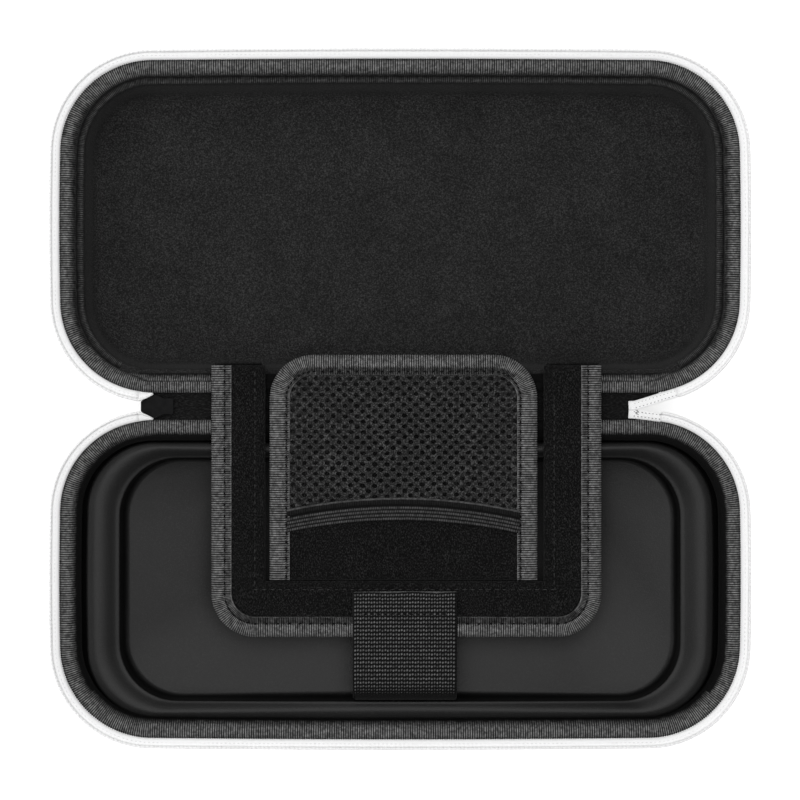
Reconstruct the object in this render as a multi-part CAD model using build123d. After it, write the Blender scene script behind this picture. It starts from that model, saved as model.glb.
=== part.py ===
from build123d import *
import os
from math import atan, degrees

# A zippered clamshell case for a handheld game console, opened flat on its back.
# Millimetres. +X runs along the fold, +Y from the fold into the lid, +Z up.
# The origin is on the floor below the middle of the fold line.

# Outline of both halves, at the outer edge of the rim binding. Distances run from the fold line.
case_half_width = 128.9
front_reach = 128.8
lid_back_gap = 2.3
tray_back_gap = 7.9
corner_radius = 35.0
side_bow = 1.5
front_bow = 1.0

# Moulded outer shells
shell_rim_height = 20.0
shell_wall = 3.0
shell_floor = 3.0
shell_draft = 5.0
shell_edge_radius = 10.0
rim_overhang = 1.2

# Binding rolled over the rim, and the hem it has inside the lid
binding_width = 7.2
binding_height = 3.5
binding_rounding = 3.2
hem_width = 2.8
hem_thickness = 1.0
hem_tuck = 1.0

# Fold line: how far it lies above the binding, so that the rims stay apart when the case is shut
fold_lift = 3.25

# Zipper tapes lean outwards from the binding and carry the coils
tape_thickness = 0.8
tape_foot = 1.0
tape_gap = 0.1
tape_reach = 2.5
tape_end_inset = 30.6
coil_width = 1.6
coil_height = 1.5
coil_clearance = 0.15

# Lid lining, a thin formed pan
lining_thickness = 1.5
lining_clearance = 0.25

# Foam insert in the tray: groove round it, ledge that falls inwards, recess for the console
groove_side = 10.7
groove_back = 8.7
groove_front = 8.4
insert_corner_radius = 26.0
insert_rise = 1.5
insert_foot_radius = 6.0
insert_crest_radius = 1.4
recess_length = 212.0
recess_back_wall = 14.5
recess_front_wall = 14.0
recess_floor = 7.5
recess_corner_radius = 22.0
recess_draft = 2.0
recess_floor_radius = 3.0
recess_lip_radius = 1.2
ledge_fall = 2.0
ledge_slope_side = 7.5
ledge_slope_long = 1.9

# Padded flap: a U-shaped panel whose two arms are sewn to the lid
flap_left = -71.0
flap_right = 75.8
flap_front = -89.6
flap_fold_y = 13.4
flap_end_gap = 0.6
flap_corner_radius = 16.5
flap_clearance = 0.5
flap_thickness = 2.8
edge_cloth = 0.6
flap_binding_width = 8.0
edge_rounding = 1.4

# Stand tongue inside the U, folded up from the flap's front bar
stand_left = -49.1
stand_right = 51.7
stand_fold_y = -68.3
stand_tip_y = 16.6
stand_corner_radius = 14.0
stand_binding_width = 7.5
stand_thickness = 2.4
slot_left = 1.7
slot_right = 2.5
fold_gap = 0.9
fold_strip_reach = 6.5

# Mesh pocket on the tongue, with an elastic band along its arched mouth
mesh_thickness = 0.4
mesh_pitch = 6.6
mesh_hole = 3.6
mesh_columns = 13
mesh_rows = 8
band_width = 8.6
band_thickness = 0.7
mouth_left_y = -51.7
mouth_top_y = -45.7
mouth_right_y = -52.3

# Retaining strap of webbing, with a hook patch under its free end
strap_width = 38.9
strap_thickness = 1.6
strap_middle_x = 1.8
strap_end_y = -72.1
strap_clearance = 0.3
strap_bend = 3.0
strap_wall_gap = 0.8
strap_foot = 17.0
hook_patch_length = 8.6
hook_patch_margin = 1.2
hook_patch_thickness = 0.6

# Sewn tabs that carry the flap's arms
tab_thickness = 0.6
tab_margin = 1.0
tab_height_over_fold = 0.2

# Fabric spine between the halves, and the sewn end of the zipper on it.
# The insets run in from the case's sides.
spine_thickness = 1.6
spine_tuck = 1.0
spine_clearance = 0.3
spine_left_inset = 35.4
spine_right_inset = 30.9
end_tab_length = 11.6
end_tab_back = -1.1
end_tab_front = -7.2
end_tab_thickness = 1.2
end_tab_lid_flare = 2.8
end_tab_tray_flare = 0.4
end_tab_arm = 3.0
end_tab_point = 5.0

# Zipper slider round the left end of the spine, with a bridge below for the pull.
# The lengths run from its nose.
slider_middle_y = -2.8
slider_nose_inset = 30.9
slider_shoulder_length = 3.5
slider_waist_length = 5.6
slider_neck_length = 8.5
slider_length = 12.3
slider_nose_width = 3.8
slider_shoulder_width = 8.8
slider_neck_width = 6.0
slider_plate = 1.5
slider_rounding = 0.7
bridge_length = 8.0
bridge_width = 2.4
bridge_height = 3.0
bridge_bar = 1.2

# Zipper pull: an eye round the bridge and a tab that hangs below it
pull_bar_radius = 0.5
pull_side = 1.0
pull_side_gap = 0.7
pull_thickness = 1.4
pull_eye = 5.5
pull_length = 13.5
pull_tip_radius = 2.0

# Heights and places that follow from the sizes above
rim_top = shell_rim_height + binding_height
fold_height = rim_top + fold_lift
coil_top = fold_height - coil_clearance
coil_bottom = coil_top - coil_height
tape_bottom = shell_rim_height + tape_foot
tape_lean = degrees(atan((tape_reach - tape_gap) / (coil_bottom - tape_bottom)))
flap_bottom = rim_top + flap_clearance
flap_panel_bottom = flap_bottom + edge_cloth
flap_panel_top = flap_panel_bottom + flap_thickness
flap_top = flap_panel_top + edge_cloth
flap_back = flap_fold_y - flap_end_gap
stand_panel_top = flap_panel_bottom + stand_thickness
mesh_top = stand_panel_top + mesh_thickness
stand_top = mesh_top + edge_cloth
recess_back = tray_back_gap + recess_back_wall
recess_front = front_reach - recess_front_wall
tape_end_x = case_half_width - tape_end_inset
spine_left = spine_left_inset - case_half_width
spine_right = case_half_width - spine_right_inset
end_tab_left = spine_right - end_tab_length
slider_nose_x = slider_nose_inset - case_half_width
slider_tail_x = slider_nose_x + slider_length
slider_channel_top = shell_rim_height + spine_clearance
slider_channel_bottom = shell_rim_height - spine_thickness - spine_clearance
slider_bottom = slider_channel_bottom - slider_plate
bridge_bottom = slider_bottom - bridge_height
bridge_middle_x = (slider_nose_x + slider_tail_x) / 2
pull_axis_height = (slider_bottom + bridge_bottom + bridge_bar) / 2


def half_outline(back, front, half_width, radius):
    """A rounded outline beside the fold: straight along it, bowed on the other three sides."""
    corner_x = half_width - side_bow
    corner_y = front - front_bow
    middle_y = (back + front) / 2
    edges = [
        Line((-corner_x, back), (corner_x, back)),
        ThreePointArc((corner_x, back), (half_width, middle_y), (corner_x, corner_y)),
        ThreePointArc((corner_x, corner_y), (0, front), (-corner_x, corner_y)),
        ThreePointArc((-corner_x, corner_y), (-half_width, middle_y), (-corner_x, back)),
    ]
    outline = make_face(edges)
    return fillet(outline.vertices(), radius)


def case_outline(back, growth=0):
    """One half at its binding's outer edge, moved outwards, or inwards where growth is negative."""
    return half_outline(
        back - growth, front_reach + growth, case_half_width + growth, corner_radius + growth
    )


def slab(outline, bottom, top):
    return extrude(Pos(0, 0, bottom) * outline, amount=top - bottom, dir=(0, 0, 1))


def drafted(outline, bottom, top, draft):
    """A block that has the outline at its top and narrows downwards by the draft angle."""
    upside_down = extrude(outline, amount=top - bottom, taper=draft)
    return Pos(0, 0, top) * mirror(upside_down, about=Plane.XY)


def lowest_edges(part):
    return part.faces().sort_by(Axis.Z)[0].edges()


def highest_edges(part):
    return part.faces().sort_by(Axis.Z)[-1].edges()


def pan(back, inset, wall, floor_bottom, floor, edge_radius):
    """An open dish as high as the shells' rim, with drafted walls and a rounded foot."""
    outline = case_outline(back, -inset)
    outer = drafted(outline, floor_bottom, shell_rim_height, shell_draft)
    outer = fillet(lowest_edges(outer), edge_radius)
    hollow = case_outline(back, -inset - wall)
    inner = drafted(hollow, floor_bottom + floor, shell_rim_height, shell_draft)
    inner = fillet(lowest_edges(inner), edge_radius - wall)
    return outer - inner


def case_ring(back, outside, inside):
    """The strip between two outlines of one half."""
    return case_outline(back, outside) - case_outline(back, inside)


def rim_roll(back):
    """The binding rolled over a rim."""
    roll = slab(case_ring(back, 0, -binding_width), shell_rim_height, rim_top)
    return fillet(highest_edges(roll), binding_rounding)


def rim_hem(back):
    """The inner hem of a binding, below its roll."""
    ring = case_ring(back, hem_tuck - binding_width, -binding_width - hem_width)
    return slab(ring, shell_rim_height - hem_thickness, shell_rim_height)


def open_at_fold(ring, back):
    """Takes the stretch along the fold out of a ring, between the zipper's two ends."""
    reach = 4 * (tape_reach + coil_width)
    return ring - Pos(0, back, fold_height) * Box(2 * tape_end_x, reach, fold_height)


def zipper_tape(back):
    inside = case_outline(back, tape_reach)
    outside = case_outline(back, tape_reach + tape_thickness)
    hollow = drafted(inside, tape_bottom, coil_bottom, tape_lean)
    return open_at_fold(drafted(outside, tape_bottom, coil_bottom, tape_lean) - hollow, back)


def zipper_coil(back):
    middle = tape_reach + tape_thickness / 2
    ring = case_ring(back, middle + coil_width / 2, middle - coil_width / 2)
    return open_at_fold(slab(ring, coil_bottom, coil_top), back)


def in_tray(part):
    """Turns a piece that was drawn on the lid's side of the fold over to the tray's side."""
    return mirror(part, about=Plane.XZ)


def foam_insert():
    """Solid foam with a crest round it, a ledge that falls inwards and the console recess."""
    outline = half_outline(
        tray_back_gap + groove_back,
        front_reach - groove_front,
        case_half_width - groove_side,
        insert_corner_radius,
    )
    crest = shell_rim_height + insert_rise
    body = drafted(outline, shell_floor, crest, shell_draft)
    body = fillet(lowest_edges(body), insert_foot_radius)
    body = fillet(highest_edges(body), insert_crest_radius)
    recess_width = recess_front - recess_back
    middle = Pos(0, (recess_back + recess_front) / 2)
    mouth = middle * RectangleRounded(recess_length, recess_width, recess_corner_radius)
    lip = crest - ledge_fall
    recess = drafted(mouth, recess_floor, lip, recess_draft)
    recess = fillet(lowest_edges(recess), recess_floor_radius)
    ledge_edge = middle * RectangleRounded(
        recess_length + 2 * ledge_slope_side,
        recess_width + 2 * ledge_slope_long,
        recess_corner_radius + ledge_slope_long,
    )
    ledge = loft([Pos(0, 0, lip) * mouth, Pos(0, 0, crest) * ledge_edge], ruled=True)
    body = body - recess - ledge
    lip_edges = body.edges().group_by(lambda edge: round(abs(edge.center().Z - lip), 3))[0]
    return fillet(lip_edges, recess_lip_radius)


def rounded_at(left, right, low, high, radius, end):
    """A rectangle with its two corners at the low end, or at the high end, rounded."""
    plate = Pos((left + right) / 2, (low + high) / 2) * Rectangle(right - left, high - low)
    by_height = plate.vertices().sort_by(Axis.Y)
    corners = by_height[:2] if end == "low" else by_height[-2:]
    return fillet(corners, radius)


def bound_plate(outline, bottom, top, open_y):
    """A plate with rounded rims all round, apart from its sewn end at open_y."""
    plate = slab(outline, bottom, top)
    rims = [
        edge
        for edge in plate.edges().filter_by(Axis.Z, reverse=True)
        if abs(edge.center().Y - open_y) > edge_rounding
    ]
    return fillet(rims, edge_rounding)


def flap_pieces():
    """The U-shaped panel and the binding round its outer edge."""
    edge = rounded_at(flap_left, flap_right, flap_front, flap_back, flap_corner_radius, "low")
    opening = rounded_at(
        stand_left - slot_left,
        stand_right + slot_right,
        stand_fold_y - fold_gap,
        flap_back + flap_end_gap,
        fold_gap,
        "low",
    )
    padding = rounded_at(
        flap_left + edge_cloth,
        flap_right - edge_cloth,
        flap_front + edge_cloth,
        flap_back,
        flap_corner_radius - edge_cloth,
        "low",
    )
    inside = rounded_at(
        flap_left + flap_binding_width,
        flap_right - flap_binding_width,
        flap_front + flap_binding_width,
        flap_back + flap_end_gap,
        flap_corner_radius - flap_binding_width,
        "low",
    )
    panel = slab(padding - opening, flap_panel_bottom, flap_panel_top)
    binding = bound_plate(edge, flap_bottom, flap_top, flap_back)
    binding = binding - slab(inside, flap_bottom, flap_top) - panel
    return panel, binding


def mouth_face(rise):
    """Everything on the tongue that lies above the pocket's mouth, moved up by rise."""
    left = (stand_left, mouth_left_y + rise)
    right = (stand_right, mouth_right_y + rise)
    middle = ((stand_left + stand_right) / 2, mouth_top_y + rise)
    top = stand_tip_y + band_width
    return make_face(
        [
            ThreePointArc(left, middle, right),
            Line(right, (stand_right, top)),
            Line((stand_right, top), (stand_left, top)),
            Line((stand_left, top), left),
        ]
    )


def stand_pieces():
    """The tongue, its binding, and the mesh pocket with its elastic band."""
    edge = rounded_at(
        stand_left, stand_right, stand_fold_y, stand_tip_y, stand_corner_radius, "high"
    )
    padding = rounded_at(
        stand_left + edge_cloth,
        stand_right - edge_cloth,
        stand_fold_y,
        stand_tip_y - edge_cloth,
        stand_corner_radius - edge_cloth,
        "high",
    )
    inside = rounded_at(
        stand_left + stand_binding_width,
        stand_right - stand_binding_width,
        stand_fold_y - edge_cloth,
        stand_tip_y - stand_binding_width,
        stand_corner_radius - stand_binding_width,
        "high",
    )
    panel = slab(padding, flap_panel_bottom, stand_panel_top)
    mesh_face = padding & mouth_face(0)
    holes_middle_x = (stand_left + stand_right) / 2
    holes_middle_y = (mouth_top_y + band_width + stand_tip_y - stand_binding_width) / 2
    for place in HexLocations(mesh_pitch / 2, mesh_columns, mesh_rows, major_radius=False):
        hole = Pos(holes_middle_x, holes_middle_y) * place * RegularPolygon(
            mesh_hole / 2, 6, major_radius=False
        )
        mesh_face = mesh_face - hole
    mesh = slab(mesh_face, stand_panel_top, mesh_top)
    band_face = (mouth_face(0) - mouth_face(band_width)) & inside
    band = slab(band_face, mesh_top, mesh_top + band_thickness)
    binding = bound_plate(edge, flap_bottom, stand_top, stand_fold_y)
    binding = binding - slab(inside, flap_bottom, stand_top)
    binding = binding - slab(padding, flap_panel_bottom, mesh_top)
    return panel, binding, mesh, band


def fold_strip():
    """Fabric under the fold, sewn to the tongue and to the flap's front bar."""
    left = stand_left + stand_binding_width
    right = stand_right - stand_binding_width
    strip = Rectangle(right - left, 2 * fold_strip_reach)
    middle_y = stand_fold_y - fold_gap / 2
    return slab(Pos((left + right) / 2, middle_y) * strip, flap_bottom, flap_panel_bottom)


def retaining_strap():
    """Webbing from the recess floor, up its front wall and back over the flap."""
    middle_z = flap_top + strap_clearance + strap_thickness / 2
    foot_z = recess_floor + strap_thickness / 2
    wall_y = -recess_front + strap_wall_gap + strap_thickness / 2
    route = FilletPolyline(
        (strap_end_y, middle_z),
        (wall_y, middle_z),
        (wall_y, foot_z),
        (wall_y + strap_foot, foot_z),
        radius=strap_bend,
    )
    side = Plane.YZ * trace(route, line_width=strap_thickness)
    strap = extrude(side, amount=strap_width / 2, both=True)
    return Pos(strap_middle_x, 0, 0) * strap


def hook_patch():
    patch = Rectangle(strap_width - 2 * hook_patch_margin, hook_patch_length)
    middle_y = strap_end_y - hook_patch_margin / 2 - hook_patch_length / 2
    top = flap_top + strap_clearance
    return slab(Pos(strap_middle_x, middle_y) * patch, top - hook_patch_thickness, top)


def flap_tab(left, right):
    """A sewn tab: its foot lies on the lid's hem, and its upright edge carries the flap's arm."""
    foot_back = lid_back_gap + binding_width + tab_thickness
    face_in = flap_fold_y - tab_thickness / 2
    face_out = flap_fold_y + tab_thickness / 2
    foot_top = shell_rim_height + tab_thickness
    top = fold_height + tab_height_over_fold
    profile = Polyline(
        (foot_back, shell_rim_height),
        (face_out, shell_rim_height),
        (face_out, top),
        (face_in, top),
        (face_in, foot_top),
        (foot_back, foot_top),
        close=True,
    )
    side = Plane.YZ * make_face(profile)
    tab = extrude(side, amount=right - left - 2 * tab_margin, dir=(1, 0, 0))
    return Pos(left + tab_margin, 0, 0) * tab


def hinge_spine():
    back = lid_back_gap - spine_clearance
    front = -tray_back_gap - spine_tuck
    strip = Rectangle(spine_right - spine_left, back - front)
    middle = Pos((spine_left + spine_right) / 2, (back + front) / 2)
    return slab(middle * strip, shell_rim_height - spine_thickness, shell_rim_height)


def end_tab():
    """The ends of the two tapes, run together in a V whose point is cut square."""
    lid_edge = end_tab_back + end_tab_lid_flare
    tray_edge = end_tab_front - end_tab_tray_flare
    outline = Polyline(
        (end_tab_left, end_tab_front),
        (spine_right, tray_edge),
        (spine_right, tray_edge + end_tab_arm),
        (end_tab_left + end_tab_point, (end_tab_back + end_tab_front) / 2),
        (spine_right, lid_edge - end_tab_arm),
        (spine_right, lid_edge),
        (end_tab_left, end_tab_back),
        close=True,
    )
    return slab(make_face(outline), shell_rim_height, shell_rim_height + end_tab_thickness)


def zipper_slider():
    """Two shield-shaped plates joined at the nose, and the bridge that holds the pull."""
    half = [
        (slider_nose_x, slider_nose_width / 2),
        (slider_nose_x + slider_shoulder_length, slider_shoulder_width / 2),
        (slider_nose_x + slider_waist_length, slider_shoulder_width / 2),
        (slider_nose_x + slider_neck_length, slider_neck_width / 2),
        (slider_tail_x, slider_neck_width / 2),
    ]
    other = [(x, -y) for x, y in reversed(half)]
    shield = make_face(Polyline(*half, *other, close=True))
    shield = fillet(shield.vertices(), slider_rounding)
    plates = slab(shield, slider_bottom, slider_channel_top + slider_plate)
    channel_left = spine_left - spine_clearance
    channel = Rectangle(slider_tail_x - channel_left + slider_plate, slider_shoulder_width)
    channel = Pos(channel_left + (slider_tail_x - channel_left + slider_plate) / 2, 0) * channel
    body = plates - slab(channel, slider_channel_bottom, slider_channel_top)
    outer = Rectangle(bridge_length, bridge_height)
    inner = Rectangle(bridge_length - 2 * bridge_bar, bridge_height - bridge_bar)
    arch = outer - Pos(0, bridge_bar / 2) * inner
    arch = extrude(Plane.XZ * arch, amount=bridge_width / 2, both=True)
    bridge = Pos(bridge_middle_x, 0, (slider_bottom + bridge_bottom) / 2) * arch
    return Pos(0, slider_middle_y, 0) * (body + bridge)


def zipper_pull():
    """A cross bar inside the bridge, two side bars that pass it, and the tab below."""
    half_width = bridge_width / 2 + pull_side_gap + pull_side
    outer = Rectangle(2 * half_width, pull_length)
    outer = Pos(0, -pull_length / 2) * outer
    outer = fillet(outer.vertices().sort_by(Axis.Y)[:2], pull_tip_radius)
    eye = Pos(0, -pull_eye / 2) * Rectangle(2 * (half_width - pull_side), pull_eye)
    plate = extrude(Plane.YZ * (outer - eye), amount=pull_thickness / 2, both=True)
    bar = Rot(90, 0, 0) * Cylinder(pull_bar_radius, 2 * half_width)
    knuckle = Rot(90, 0, 0) * Cylinder(pull_thickness / 2, 2 * half_width)
    gap = Box(pull_thickness, 2 * (half_width - pull_side), pull_thickness)
    pull = plate + (knuckle - gap) + bar
    return Pos(bridge_middle_x, slider_middle_y, pull_axis_height) * pull


lining_inset = rim_overhang + shell_wall + lining_clearance
lining_edge_radius = shell_edge_radius - shell_wall - lining_clearance
flap_panel, flap_binding = flap_pieces()
stand_panel, stand_binding, pocket_mesh, pocket_band = stand_pieces()

pieces = {
    "tray_shell": in_tray(
        pan(tray_back_gap, rim_overhang, shell_wall, 0, shell_floor, shell_edge_radius)
    ),
    "tray_insert": in_tray(foam_insert()),
    "tray_binding": in_tray(rim_roll(tray_back_gap)),
    "tray_zipper_tape": in_tray(zipper_tape(tray_back_gap)),
    "tray_zipper_coil": in_tray(zipper_coil(tray_back_gap)),
    "hinge_spine": hinge_spine(),
    "zipper_slider": zipper_slider(),
    "zipper_end_tab": end_tab(),
    "retaining_strap": retaining_strap(),
    "strap_hook_patch": hook_patch(),
    "lid_shell": pan(lid_back_gap, rim_overhang, shell_wall, 0, shell_floor, shell_edge_radius),
    "lid_lining": pan(
        lid_back_gap,
        lining_inset,
        lining_thickness,
        shell_floor,
        lining_thickness,
        lining_edge_radius,
    ),
    "lid_binding": rim_roll(lid_back_gap) + rim_hem(lid_back_gap),
    "lid_zipper_tape": zipper_tape(lid_back_gap),
    "lid_zipper_coil": zipper_coil(lid_back_gap),
    "flap_tab_left": flap_tab(flap_left, stand_left - slot_left),
    "flap_tab_right": flap_tab(stand_right + slot_right, flap_right),
    "flap_panel": flap_panel,
    "flap_binding": flap_binding,
    "stand_panel": stand_panel,
    "stand_binding": stand_binding,
    "stand_fold_strip": fold_strip(),
    "pocket_mesh": pocket_mesh,
    "pocket_band": pocket_band,
    "zipper_pull": zipper_pull(),
}

os.makedirs("parts", exist_ok=True)
for name, piece in pieces.items():
    export_step(piece, f"parts/{name}.step")
    print(name, round(piece.volume), "mm3")
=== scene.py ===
# %% [markdown]
# # A zippered console case, lying open
# The part comes from CAD as solids, one for each real piece. This lesson dresses it: each soft piece is
# made again as cloth, tape or webbing, and each rigid piece gets a finish. Every size is in metres, in the
# CAD's own frame: X runs along the fold, Y from the fold into the lid, Z up.

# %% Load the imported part
from math import atan2, cos, exp, pi, sin, sqrt, tau

import bmesh
import bpy
from mathutils import Matrix, Vector, noise
from mathutils.geometry import intersect_sphere_sphere_2d


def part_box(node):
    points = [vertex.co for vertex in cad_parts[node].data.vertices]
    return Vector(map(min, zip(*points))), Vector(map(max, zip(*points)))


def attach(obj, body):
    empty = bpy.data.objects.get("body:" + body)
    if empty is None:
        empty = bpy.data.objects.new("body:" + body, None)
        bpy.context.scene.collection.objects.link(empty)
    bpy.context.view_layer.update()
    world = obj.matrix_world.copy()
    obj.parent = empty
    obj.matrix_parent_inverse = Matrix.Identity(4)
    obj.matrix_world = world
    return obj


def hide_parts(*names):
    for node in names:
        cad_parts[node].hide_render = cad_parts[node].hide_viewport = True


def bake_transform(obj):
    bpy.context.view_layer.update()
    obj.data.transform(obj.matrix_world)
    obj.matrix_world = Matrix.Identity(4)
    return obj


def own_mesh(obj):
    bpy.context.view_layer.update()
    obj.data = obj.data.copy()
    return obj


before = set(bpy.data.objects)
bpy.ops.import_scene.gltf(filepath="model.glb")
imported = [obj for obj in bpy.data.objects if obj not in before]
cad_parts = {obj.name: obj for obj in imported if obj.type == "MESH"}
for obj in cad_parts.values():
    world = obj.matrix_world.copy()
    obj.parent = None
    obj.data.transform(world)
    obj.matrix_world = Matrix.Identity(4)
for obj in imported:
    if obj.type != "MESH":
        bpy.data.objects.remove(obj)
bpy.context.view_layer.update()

mm = 0.001

# %% [markdown]
# ## Finishes
# A finish is a small node tree. Two short helpers keep each tree readable: one adds a node with its values,
# the other strings sockets together. Values that don't change over the surface go straight on the shader.

# %% Helpers for finishes
def new_finish(name, colour, roughness, specular, sheen=0.0):
    """A material with one Principled shader, and the values that stay the same all over it."""
    finish = bpy.data.materials.new(name)
    finish.use_nodes = True
    shader = finish.node_tree.nodes["Principled BSDF"]
    shader.inputs["Base Color"].default_value = (*colour, 1)
    shader.inputs["Roughness"].default_value = roughness
    shader.inputs["Specular IOR Level"].default_value = specular
    shader.inputs["Sheen Weight"].default_value = sheen
    shader.inputs["Sheen Roughness"].default_value = 0.5
    return finish, shader


def add_node(finish, kind, values=None, **settings):
    """Adds a node, sets its sockets from values and its options from settings."""
    made = finish.node_tree.nodes.new("ShaderNode" + kind)
    for socket, value in (values or {}).items():
        made.inputs[socket].default_value = value
    for option, value in settings.items():
        setattr(made, option, value)
    return made


def link(finish, source, target):
    finish.node_tree.links.new(source, target)


def add_ramp(finish, source, stops):
    """A colour ramp on a value. Each stop is a place and a grey or a colour."""
    ramp = add_node(finish, "ValToRGB")
    elements = ramp.color_ramp.elements
    while len(elements) < len(stops):
        elements.new(0.5)
    for element, (place, colour) in zip(elements, stops):
        element.position = place
        element.color = (*colour, 1) if isinstance(colour, tuple) else (colour, colour, colour, 1)
    link(finish, source, ramp.inputs["Fac"])
    return ramp.outputs["Color"]


def add_noise(finish, scale, detail=2.0, stretch=(1, 1, 1)):
    """Noise on Object coordinates. Scale counts features to the metre, stretch draws them out."""
    place = add_node(finish, "TexCoord")
    mapping = add_node(finish, "Mapping", {"Scale": stretch})
    texture = add_node(finish, "TexNoise", {"Scale": scale, "Detail": detail})
    link(finish, place.outputs["Object"], mapping.inputs["Vector"])
    link(finish, mapping.outputs["Vector"], texture.inputs["Vector"])
    return texture.outputs["Fac"]


def add_bump(finish, shader, height, distance):
    bump = add_node(finish, "Bump", {"Distance": distance, "Strength": 1.0})
    link(finish, height, bump.inputs["Height"])
    link(finish, bump.outputs["Normal"], shader.inputs["Normal"])


def mix_colours(finish, first, second, share, blend="MIX"):
    """Mixes two colour sockets, by a number or by a socket."""
    mix = add_node(finish, "Mix", data_type="RGBA", blend_type=blend)
    link(finish, first, mix.inputs["A"])
    link(finish, second, mix.inputs["B"])
    if isinstance(share, float):
        mix.inputs["Factor"].default_value = share
    else:
        link(finish, share, mix.inputs["Factor"])
    return mix.outputs["Result"]

# %% [markdown]
# ### Cloth whose threads are modelled
# Ribs, wales and webbing are real relief in the mesh here. The sweep below writes how high each point stands
# into an attribute called crest, and the finish paints the gaps between raised threads dark, as painted shade,
# and the raised threads paler.

# %% Threaded cloth
cloth_roughness = 0.75
cloth_sheen = 0.03


def threaded(name, shaded_gap, crest, fibre=9000, specular=0.1):
    """Cloth whose gaps are painted dark, as painted shade, and whose raised threads are paler, with fine fibres on
    both.
    """
    finish, shader = new_finish(name, (crest, crest, crest), cloth_roughness, specular, cloth_sheen)
    height = add_node(finish, "Attribute", attribute_name="crest")
    # Low crest values get the dark gap colour: painted shade in the gaps and in rows set aside for shade.
    colour = add_ramp(finish, height.outputs["Fac"], [(0.15, shaded_gap), (0.9, crest)])
    fibres = add_noise(finish, fibre, 3.0)
    wear = add_noise(finish, 800, 3.0)
    shade = add_ramp(finish, fibres, [(0.3, 0.5), (0.7, 1.0)])
    patch = add_ramp(finish, wear, [(0.34, 0.3), (0.64, 1.0)])
    colour = mix_colours(finish, colour, shade, 0.9, "MULTIPLY")
    colour = mix_colours(finish, colour, patch, 0.9, "MULTIPLY")
    link(finish, colour, shader.inputs["Base Color"])
    add_bump(finish, shader, fibres, 0.06 * mm)
    return finish


grosgrain = threaded("ribbed_binding_tape", 0.004, 0.38, specular=0.06)
hem_tape = threaded("hem_tape", 0.0015, 0.13)
webbing = threaded("strap_webbing", 0.0012, 0.30, fibre=6000)
elastic = threaded("pocket_elastic", 0.002, 0.13)
thread = threaded("black_thread", 0.002, 0.003)
seam_thread = threaded("seam_thread", 0.06, 0.06)
tack_thread = threaded("grey_white_thread", 0.5, 0.52)
print("threaded cloths made")

# %% [markdown]
# ### Knit, pile, foam, coated skin, metal
# These have no single threads that a camera at this distance could count, so noise does the work: a fine one
# for the surface, a wide and weak one for the uneven look of a real thing.

# %% Knit, pile and foam
def speckled(name, dark, mid, light, scale, roughness, specular, sheen, bump, stretch=(1, 1, 1)):
    """Soft cloth with a fine speckle of paler fibres on a dark ground."""
    finish, shader = new_finish(name, (mid, mid, mid), roughness, specular, sheen)
    grain = add_noise(finish, scale, 4.0, stretch)
    wide = add_noise(finish, 70, 2.0)
    colour = add_ramp(finish, grain, [(0.36, dark), (0.52, mid), (0.74, light)])
    cloud = add_ramp(finish, wide, [(0.35, 0.82), (0.65, 1.0)])
    colour = mix_colours(finish, colour, cloud, 1.0, "MULTIPLY")
    link(finish, colour, shader.inputs["Base Color"])
    add_bump(finish, shader, grain, bump)
    return finish


jersey = speckled("jersey_lining", 0.009, 0.019, 0.05, 2100, 0.9, 0.05, 0.04, 0.10 * mm)
velour = speckled("black_velour", 0.002, 0.0055, 0.03, 2600, 0.95, 0.04, 0.07, 0.16 * mm, (1.0, 0.55, 1.0))
along_x = (0.4, 1, 1)
spine_cloth = speckled("smooth_spine_cloth", 0.002, 0.006, 0.02, 2200, 0.7, 0.06, 0.02, 0.05 * mm, along_x)
hook_pad = speckled("hook_pad", 0.004, 0.012, 0.04, 1800, 0.6, 0.1, 0.0, 0.2 * mm)
net_yarn = speckled("pocket_net_yarn", 0.004, 0.017, 0.10, 1700, 0.75, 0.12, 0.08, 0.12 * mm)
foam = speckled("moulded_foam", 0.002, 0.004, 0.014, 2600, 0.42, 0.21, 0.0, 0.05 * mm)
white_thread = speckled("white_thread", 0.84, 0.88, 0.92, 3000, 0.8, 0.2, 0.0, 0.03 * mm)
print("soft finishes", len(bpy.data.materials))

# %% Coated skin, paint and white plastic
def moulded(name, dark, light, grain_scale, roughness, specular, bump):
    """Coated skin, paint or plastic: one colour that drifts a little, and a fine grain in the surface."""
    finish, shader = new_finish(name, light, roughness[1], specular)
    grain = add_noise(finish, grain_scale, 3.0)
    wide = add_noise(finish, 45, 2.0)
    link(finish, add_ramp(finish, wide, [(0.3, dark), (0.7, light)]), shader.inputs["Base Color"])
    polish = add_ramp(finish, grain, [(0.3, roughness[0]), (0.7, roughness[1])])
    link(finish, polish, shader.inputs["Roughness"])
    add_bump(finish, shader, grain, bump)
    return finish


slider_paint = moulded(
    "black_paint", (0.003, 0.003, 0.0032), (0.0045, 0.0045, 0.0047), 500, (0.4, 0.52), 0.05, 0.01 * mm,
)
coil_plastic = moulded("white_coil", (0.88, 0.88, 0.88), (0.92, 0.92, 0.92), 900, (0.35, 0.5), 0.4, 0.01 * mm)


def coated_skin():
    """Pale grained skin outside a shell, and its black back inside, where the surface faces up."""
    finish = moulded(
        "pale_grained_skin", (0.72, 0.72, 0.715), (0.78, 0.78, 0.775), 1400, (0.5, 0.68), 0.35, 0.16 * mm,
    )
    shader = finish.node_tree.nodes["Principled BSDF"]
    skin = shader.inputs["Base Color"].links[0].from_socket
    facing = add_node(finish, "TexCoord")
    parts = add_node(finish, "SeparateXYZ")
    link(finish, facing.outputs["Normal"], parts.inputs["Vector"])
    inside = add_node(finish, "Math", {1: 0.0}, operation="GREATER_THAN")
    link(finish, parts.outputs["Z"], inside.inputs[0])
    black = add_node(finish, "RGB")
    black.outputs["Color"].default_value = (0.003, 0.003, 0.003, 1)
    colour = mix_colours(finish, skin, black.outputs["Color"], inside.outputs[0])
    link(finish, colour, shader.inputs["Base Color"])
    return finish


shell_skin = coated_skin()

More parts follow.
